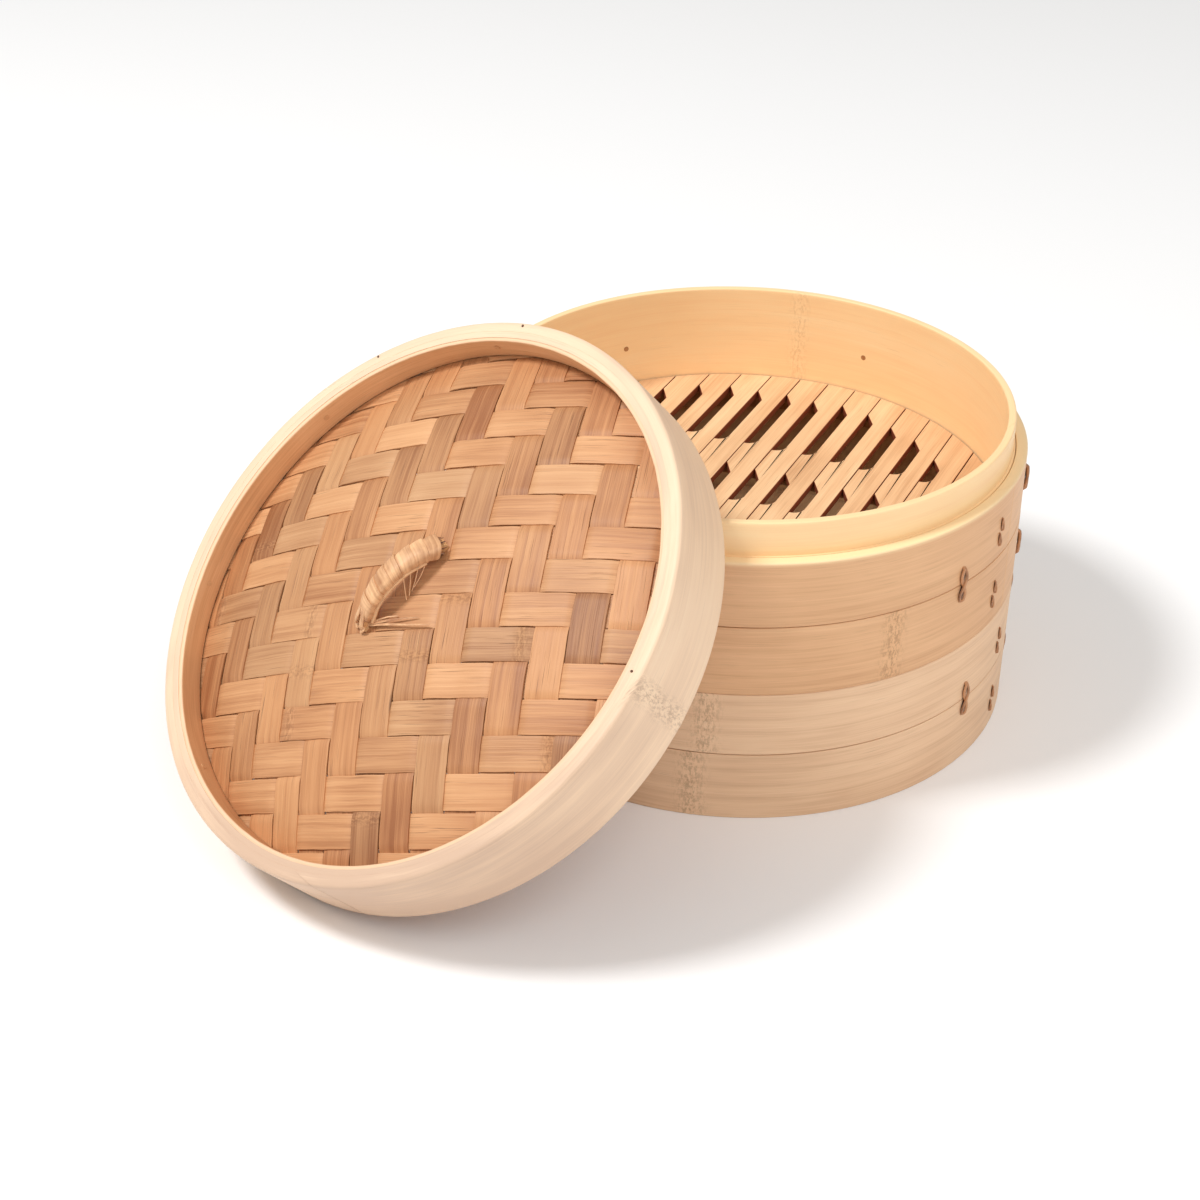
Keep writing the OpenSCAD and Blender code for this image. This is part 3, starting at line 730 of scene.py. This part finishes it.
def strip_height(a, overs, bends):
    """How high a strip lies at the angle a: 1 where it passes over, 0 where it passes under."""
    height = 0.0
    for j, over in enumerate(overs):
        rising, falling = ((a - bends[k]) * dome_r / STRIP_RISE + 0.5 for k in (j, j + 1))
        height += over * (smooth(rising) - smooth(falling))
    return height


def on_dome(along, tilt, height, is_weft):
    """A point by its angles along and off its strip's way, at a height from the dome's middle."""
    run, level = math.sin(along), math.cos(along) * math.cos(tilt)
    aside = math.cos(along) * math.sin(tilt)
    return DOME @ (Vector((run, aside, level) if is_weft else (aside, run, level)) * height)


def strip_quads(verts, start, per):
    """A strip's faces as rows of point numbers from start, without those the rim cuts off."""
    quads = []
    for i in range(STRIP_STEPS):
        for j in range(per):
            k = (j + 1) % per
            quad = (i * per + j, (i + 1) * per + j, (i + 1) * per + k, i * per + k)
            p, q, r, s = (verts[start + c] for c in quad)
            if max((q - p).length, (r - s).length) >= TOUCHING:
                quads.append(quad)
    for ring, turn in ((0, 1), (STRIP_STEPS, -1)):
        for j in range(per // 2 - 1):
            ends = (j, j + 1, per - 2 - j, per - 1 - j)
            quads.append([ring * per + c for c in ends][::turn])
    return quads


def weave(name, node, rolls, crossing, is_weft, material, seed):
    """One set of the woven strips as a single piece, split bamboo bent over and under."""
    dice = random.Random(seed)
    verts, faces, uvs, tones, scars, greys = [], [], [], [], [], []
    edges = [(a + b) / 2 for a, b in zip(crossing, crossing[1:])]
    step = math.asin(pitch / dome_r)
    edges = [edges[0] - step] + edges + [edges[-1] + step]
    limit = (weave_r - RIM_CLEAR) / dome_r
    run = [-STRIP_HALF + 2 * STRIP_HALF * i / STRIP_STEPS for i in range(STRIP_STEPS + 1)]
    for n, roll in enumerate(rolls):
        overs = [weft_over(n, j) if is_weft else not weft_over(j, n) for j in range(len(crossing))]
        bends = [math.atan(math.tan(e) * math.cos(roll)) for e in edges]
        # How it was split: its width, its place, its taper and its own shade
        width = pitch - dice.uniform(0.15, 0.75) * MM
        slide, taper = dice.uniform(-0.2, 0.2) * MM, dice.uniform(-0.25, 0.25) * MM
        own = dice.uniform(-0.2, 0.2)
        # How it has aged: its fading, its node, the shade of each stretch on top, and its blots
        worn = dice.uniform(0.3, 1.0) if dice.random() < 0.35 else 0.0
        knots = [dice.uniform(-0.3, 0.3)] if dice.random() < 0.6 else []
        pieces = [dice.uniform(-0.12, 0.12) for _ in range(len(crossing) + 1)]
        faded = [worn * dice.random() + (0.7 if dice.random() < 0.08 else 0) for _ in pieces]
        blots = [
            (dice.uniform(-0.3, 0.3), dice.uniform(0.02, 0.05), dice.uniform(-0.16, 0.14))
            for _ in range(4)
        ]
        start, grain = len(verts), []
        for a in run:
            height = strip_height(a, overs, bends)
            pinch = 0.3 * math.sin(math.pi * height) if 0.01 < height < 0.99 else 0.0
            wander = UNEVEN * noise.noise(Vector((a * 60, n * 5.1, seed)))
            top = dome_r - LAYER * (1 - height) - 0.05 * MM
            top += UNEVEN * noise.noise(Vector((a * 45, n * 3.7, seed + 1)))
            tone = own + sum(dark * math.exp(-(((a - at) / span) ** 2)) for at, span, dark in blots)
            here = max(0, min(len(overs), sum(a + step / 2 > b for b in bends)))
            bay = sum(over and not under for over, under in zip(overs[:here], [False] + overs))
            scar = max([max(0.0, 1 - abs(a - at) * dome_r / (3.2 * MM)) for at in knots] or [0.0])
            for side in (1, -1):
                for x in STRIP_ACROSS if side > 0 else reversed(STRIP_ACROSS):
                    off = x * (width + taper * a / 0.3) + slide + wander
                    tilt = held(roll + off / dome_r, math.asin(limit) - 1e-5)
                    room = math.sqrt(max(0.0, limit**2 - math.sin(tilt) ** 2))
                    along = held(a, math.asin(room / math.cos(tilt)))
                    edge = max(0.0, (abs(x) - 0.36) / 0.14)
                    h = top - 0.10 * MM * edge**2 * (1 + pinch)
                    if side < 0:
                        h = top - STRIP_T + 0.08 * MM * edge**2
                    verts.append(on_dome(along, tilt, h, is_weft))
                    grain.append((a * dome_r + n * 0.411, x * width + n * 0.077))
                    tones.append(tone + pieces[bay])
                    scars.append(scar * 0.9)
                    greys.append(faded[bay])
        for quad in strip_quads(verts, start, 2 * len(STRIP_ACROSS)):
            faces.append(tuple(start + c for c in quad))
            uvs += [grain[c] for c in quad]
    marks = {"tone": tones, "scar": scars, "grey": greys}
    return mesh_piece(name, "lid", [node], verts, faces, uvs, marks, material, sharp=60, weld=True)


weave("lid_weft_woven", "lid_weft_strips", weft_rolls, warp_rolls, True, WEFT, 5)
weave("lid_warp_woven", "lid_warp_strips", warp_rolls, weft_rolls, False, WARP, 9)


# ---- The handle ----

feet = sorted((middle(s) for s in islands("lid_handle_toggles", LID)), key=lambda p: p.x)
stride = feet[1] - feet[0]
HANDLE = LID @ Matrix.Translation(((feet[0] + feet[1]) / 2).xy.to_3d())
HANDLE = HANDLE @ Matrix.Rotation(math.atan2(stride.y, stride.x), 4, "Z")
core = [HANDLE.inverted() @ v.co for v in frame["nodes"]["lid_handle_core"].data.vertices]
core_w = max(p.y for p in core) - min(p.y for p in core)
# The core's legs go straight down through the weave, so they are measured below it
leg_z = weave_top - 4 * MM
core_t = max(p.x for p in core if p.z < leg_z) * 2 - stride.length
foot_x = stride.length / 2
bow = max(p.z for p in core) - core_t / 2 - weave_top
arch_r = (foot_x**2 + bow**2) / (2 * bow)
arch_half = math.asin(foot_x / arch_r)

CANE = rattan("wrap_cane", (240, 191, 142), (160, 105, 68))
DARK_CANE = rattan("dark_cane", (198, 140, 96), (84, 46, 24), contrast=1.2)
RIB = bamboo("rib_bamboo", (232, 186, 136), (210, 158, 106), (172, 118, 74), grain_turn=0,
             contrast=0.4, seed=83)
LINER_PEG = bamboo("liner_peg_bamboo", (226, 178, 132), (208, 156, 110), (176, 122, 80),
                   grain_turn=0, contrast=0.4, seed=89)


def on_arch(lean, height=0.0, across=0.0):
    """A point by the handle's bow: lean is the angle from its middle, towards its upslope foot."""
    r = arch_r + height
    up = weave_top + bow - arch_r + r * math.cos(lean)
    return HANDLE @ Vector((r * math.sin(lean), across, up))


def on_handle(x, y, z):
    """A point in the handle's frame, with z measured from the top of the weave."""
    return HANDLE @ Vector((x, y, weave_top + z))


def wrap():
    """The cane wound round the core: one flat strip whose every turn laps the one before."""
    turns, steps = 7, 48
    total = turns * steps
    low, high = arch_half * 0.95, -arch_half * 0.92
    band = (high - low) / turns
    thick = 0.5 * MM
    across = [-0.5, -0.46, -0.2, 0.15, 0.42, 0.5]
    verts, tones = [], []
    for i in range(total + 1):
        share = i / total
        phi = TURN * i / steps
        size = 1.2 - 0.34 * share**1.4
        c, s = math.cos(phi), math.sin(phi)
        for side in (1, -1):
            for x in across if side > 0 else reversed(across):
                lean = low + (high - low) * share * (1 - 1 / turns) + band * (0.5 + x * 1.25)
                lean += band * 0.07 * math.sin(phi * 0.37)
                lap = (0.5 - x) * 0.85 * MM
                lift = 0.05 * MM + lap + (thick if side > 0 else 0)
                lift -= 0.12 * MM * max(0.0, (abs(x) - 0.38) / 0.12) if side > 0 else 0
                y = math.copysign(abs(c) ** 0.75, c) * (core_w / 2 + 0.5 * MM + lift) * size
                z = math.copysign(abs(s) ** 0.75, s) * (core_t / 2 + 0.3 * MM + lift) * size
                verts.append(on_arch(lean, z, y))
                # Each turn is painted darker where it tucks under the next, as shade in the crease
                # between turns.
                edge = max(0.0, (x - 0.25) / 0.25)
                tones.append(0.12 - 0.75 * edge**2 + 0.22 * noise.noise(Vector((phi * 0.5, x, 3)))
                             - 0.35 * max(0.0, 1 - share * 9))
    per = 2 * len(across)
    far, girth = [i * 0.3 * MM for i in range(total + 1)], [j * 0.7 * MM for j in range(per + 1)]
    faces, uvs = tube(far, girth, [(0, 0)] * per)
    mesh_piece("lid_handle_wound", "lid", ["lid_handle_wrap"], verts, faces, uvs,
               {"tone": tones}, CANE)


def bent(points, steps=24):
    """A smooth curve through points, by Catmull-Rom."""
    spots = []
    for i in range(len(points) - 1):
        a, b = points[max(0, i - 1)], points[i]
        c, d = points[i + 1], points[min(len(points) - 1, i + 2)]
        for k in range(steps):
            t = k / steps
            spots.append(0.5 * ((2 * b) + (c - a) * t + (2 * a - 5 * b + 4 * c - d) * t * t
                                + (3 * b - a - 3 * c + d) * t**3))
    return spots + [points[-1]]


def knot():
    """The wrap's tied foot: two prongs that part over the leg, the cane's straight run along the
    inside of the bow, and its two loose ends on the weave."""
    parts = Parts()
    for side in (-1, 1):
        spots = bent([
            on_arch(-arch_half * 0.66, 1.7 * MM, side * 1.0 * MM),
            on_arch(-arch_half * 0.9, 1.9 * MM, side * 1.8 * MM),
            on_handle(-foot_x - 0.7 * MM, side * 2.2 * MM, 1.1 * MM),
            on_handle(-foot_x - 1.8 * MM, side * 1.0 * MM, 0.0),
        ])
        prong = oval(1.7 * MM, 0.8 * MM, 8)
        parts.add(path_frames(spots, LID_OUT), prong, 0.1, (side * 0.1, 0))
    spots = bent([
        on_arch(arch_half * (0.6 - 0.36 * i), -1.3 * MM, (-3.9 + 0.24 * i) * MM) for i in range(5)
    ])
    parts.add(path_frames(spots, LID_OUT), oval(1.7 * MM, 1.1 * MM, 8), 0.2, (0.2, 0))
    weft_way = DOME.to_3x3() @ Vector((1, 0, 0))
    warp_way = DOME.to_3x3() @ Vector((0, 1, 0))
    start = on_handle(-foot_x + 0.8 * MM, -1.2 * MM, 0.5 * MM)
    loose_ends = ((25, -1.2, 0.9, 0.0), (20, 1.6, 1.6, -0.25), (12, 2.6, 1.8, 0.1))
    for reach, drift, lift, tone in loose_ends:
        spots = bent([
            start + weft_way * reach * on * MM + warp_way * drift * off * MM
            + LID_OUT * up * MM
            for on, off, up in (
                (0, 0, 0), (0.3, 0.3, lift * 0.5), (0.7, 0.8, lift * 0.3), (1, 1, -0.2))
        ])
        scales = [1 - 0.7 * (i / (len(spots) - 1)) ** 1.5 for i in range(len(spots))]
        tail = oval(1.0 * MM, 0.4 * MM, 8)
        parts.add(path_frames(spots, LID_OUT, scales), tail, tone, (reach, 0))
    parts.piece("lid_handle_knot", "lid", [], CANE)


def fray():
    """The wrap's dark, ragged upper end."""
    dice = random.Random(4)
    parts = Parts()
    for i in range(26):
        round_it = math.radians(dice.uniform(0, 360))
        y = math.cos(round_it) * (core_w / 2 + 1.2 * MM)
        h = math.sin(round_it) * (core_t / 2 + 0.9 * MM)
        lean = arch_half * dice.uniform(0.84, 0.93)
        tip = on_arch(lean + dice.uniform(0.03, 0.09), h * dice.uniform(0.9, 1.4),
                      y * dice.uniform(0.9, 1.25))
        spots = bent([on_arch(lean - 0.14, h, y), on_arch(lean, h * 1.12, y * 1.06), tip], 8)
        scales = [1 - 0.6 * k / (len(spots) - 1) for k in range(len(spots))]
        shred = oval(dice.uniform(0.7, 1.5) * MM, 0.4 * MM, 8)
        parts.add(path_frames(spots, LID_OUT, scales), shred, dice.uniform(-0.35, 0.1), (i, 0))
    parts.piece("lid_handle_fray", "lid", [], DARK_CANE)


def fibres():
    """Fine loose fibres that hang from the wrap onto the weave."""
    parts = Parts()
    for i in range(4):
        top = on_arch(arch_half * (0.18 + 0.15 * i), -0.6 * MM, -(core_w / 2 + 1.6 * MM))
        x, y, z = HANDLE.inverted() @ top
        end = on_handle(x - (5.5 + 1.3 * i) * MM, y - (2.0 - 0.5 * i) * MM, 0.1 * MM)
        spots = bent([top, top.lerp(end, 0.45) - UP * 0.9 * MM, end], 10)
        parts.add(path_frames(spots, LID_OUT), oval(0.32 * MM, 0.32 * MM, 6, 2), 0.4)
    parts.piece("lid_handle_fibres", "lid", [], CANE)


for make in (wrap, knot, fray, fibres):
    make()


def rim_pins():
    """The heads of the thin pins left in the rim's edge, each tapering to its tip."""
    parts = Parts()
    for angle in (50.7, 15.6, -80.2):
        a = math.radians(angle)
        r = lid_r - 1.6 * MM if angle > 0 else (mid_out + lid_in) / 2
        across = LID.to_3x3() @ Vector((math.cos(a), math.sin(a), 0))
        base = LID @ Vector((r * math.cos(a), r * math.sin(a), lid_h - 2 * MM))
        frames = [
            (base + LID_OUT * h * MM, across, LID_OUT.cross(across), size)
            for h, size in ((0, 1), (1.0, 1), (1.6, 1), (1.95, 0.8), (2.05, 0.3))
        ]
        parts.add(frames, oval(1.1 * MM, 0.9 * MM, 8, 2), -0.6)
    parts.piece("lid_rim_pins", "lid", [], DARK_CANE)


rim_pins()


# ---- The lashings ----

tier_r = measure("upper_upper_band", UPPER)[1]


def tier_point(place, angle, level, across, out):
    """A point off a tier's outside: across along the hoop, out from its face."""
    r = tier_r + out
    a = angle + across / tier_r
    return place @ Vector((r * math.cos(a), r * math.sin(a), level))


# The points along a strand and along the dark strip of painted shade it crosses over
STRAND_STEPS, HOLE_SHADE_STEPS = 40, 12


def lash(parts, place, spots, length, swing, strand, lift, crossings, hole, lean=0.0):
    """Two strands that leave one hole, cross, and go in at the other, over a dark strip between,
    painted as shade.
    strand is the (width, thickness) of each, and swing how far they part."""
    at = middle(spots)
    angle = math.atan2(at.y, at.x)
    facing = place.to_3x3() @ Vector((math.cos(angle), math.sin(angle), 0))

    def along(t, side, rise):
        h = (t - 0.5) * length
        across = side * math.cos(lean) - h * math.sin(lean)
        level = at.z + h * math.cos(lean) + side * math.sin(lean)
        return tier_point(place, angle, level, across, rise)

    for way in (1, -1):
        path = []
        for i in range(STRAND_STEPS + 1):
            t = i / STRAND_STEPS
            arch = math.sin(math.pi * t)
            side = way * swing * math.sin(math.pi * t * crossings)
            rise = lift * arch**0.5 - 1.0 * MM * (1 - min(1.0, arch * 5))
            rise += way * 0.28 * MM * math.cos(math.pi * t * crossings)
            path.append(along(t, side, rise))
        tone = 0.28 + 0.14 * way
        parts.add(path_frames(path, facing), oval(*strand, 10), tone, (at.z * 3, way))
    # A dark strip under the strands, widest where they part, is painted shade.
    shares = [i / HOLE_SHADE_STEPS for i in range(HOLE_SHADE_STEPS + 1)]
    eye = [along(0.06 + 0.88 * t, 0, -0.05 * MM) for t in shares]
    widths = [0.4 + 0.6 * abs(math.sin(math.pi * crossings * t)) for t in shares]
    parts.add(path_frames(eye, facing, widths), oval(hole, 0.3 * MM, 10), -0.9)


def lashings(tier):
    """A tier's stitches, each in the place of its CAD solid: a figure of eight over each seam, a
    broad loop at each lap's end and a fine one beside it."""
    place, body = TIERS[tier], f"{tier}_tier"
    for kind in ("seam", "lap"):
        parts = Parts()
        for spots in islands(f"{tier}_{kind}_stitches", place):
            length = max(p.z for p in spots) - min(p.z for p in spots)
            if kind == "seam":
                strand = (1.25 * MM, 0.75 * MM)
                lash(parts, place, spots, length, 1.25 * MM, strand, 0.7 * MM, 2, 2.2 * MM)
            elif length > 8 * MM:
                strand = (2.1 * MM, 1.2 * MM)
                lash(parts, place, spots, length, 0.8 * MM, strand, 0.75 * MM, 1, 3.0 * MM)
            else:
                strand = (0.8 * MM, 0.5 * MM)
                lash(parts, place, spots, length * 0.78, 0.75 * MM, strand, 0.3 * MM, 1, 1.3 * MM,
                     lean=math.radians(10))
        parts.piece(f"{tier}_{kind}_knots", body, [f"{tier}_{kind}_stitches"], DARK_CANE)


for tier in TIERS:
    lashings(tier)

for node in ("lid_support_ring", "lid_ribs", "lid_handle_core"):
    dress(node, RIB)
dress("lid_handle_toggles", PEG)
dress("lid_pegs", LINER_PEG)


# ---- The studio ----

SKY = 0.48
# Each light's name, azimuth, elevation, distance, size and power.
LIGHTS = [
    ("key", -116, 56, 2.2, 0.5, 32),
    ("fill", -6, 46, 2.2, 1.6, 18),
]
AIM = (cad_box[0] + cad_box[1]) / 2
FLOOR_HALF = 4.0

# The camera fitted to the photograph: its place, the ways behind it and to its right, its lens
EYE = (-0.4964, -0.4867, 0.4461)
BACK = Vector((-0.5657, -0.6411, 0.5187))
RIGHT = Vector((0.7533, -0.6576, 0.0088))
LENS, SENSOR = 65.25, 36


def studio():
    """A pale floor, a soft key light from the upper left, a fill, and a pale sky."""
    corners = [(x * FLOOR_HALF, y * FLOOR_HALF, 0) for x, y in ((-1, -1), (1, -1), (1, 1), (-1, 1))]
    paper = bpy.data.meshes.new("floor")
    paper.from_pydata(corners, [], [(0, 1, 2, 3)])
    floor = bpy.data.objects.new("floor", paper)
    bpy.context.scene.collection.objects.link(floor)
    floor.location.z = -0.05 * MM
    s = Shader("paper")
    s.surface.inputs["Base Color"].default_value = (0.95, 0.95, 0.95, 1)
    s.surface.inputs["Roughness"].default_value = 0.9
    s.surface.inputs["Specular IOR Level"].default_value = 0.1
    paper.materials.append(s.material)
    world = bpy.data.worlds.new("sky")
    world.use_nodes = True
    background = next(n for n in world.node_tree.nodes if n.type == "BACKGROUND")
    background.inputs[0].default_value = (1.0, 0.985, 0.965, 1)
    background.inputs[1].default_value = SKY
    bpy.context.scene.world = world
    for name, azimuth, elevation, distance, size, power in LIGHTS:
        lamp = bpy.data.lights.new(name, "AREA")
        lamp.shape = "DISK"
        lamp.size = size
        lamp.energy = power
        o = bpy.data.objects.new(name, lamp)
        bpy.context.scene.collection.objects.link(o)
        a, e = math.radians(azimuth), math.radians(elevation)
        away = Vector((math.sin(a) * math.cos(e), -math.cos(a) * math.cos(e), math.sin(e)))
        o.location = AIM + away * distance
        o.rotation_euler = away.to_track_quat("Z", "Y").to_euler()


def camera():
    """The camera at the photograph's side, height and lens."""
    lens = bpy.data.cameras.new("camera")
    lens.lens = LENS
    lens.sensor_width = SENSOR
    eye = bpy.data.objects.new("camera", lens)
    bpy.context.scene.collection.objects.link(eye)
    back = BACK.normalized()
    up = back.cross(RIGHT.normalized()).normalized()
    right = up.cross(back).normalized()
    axes = Matrix((right, up, back)).transposed().to_4x4()
    eye.matrix_world = Matrix.Translation(EYE) @ axes
    bpy.context.scene.camera = eye


studio()
camera()
bpy.context.scene.view_settings.view_transform = "Standard"
bpy.context.scene.view_settings.look = "None"
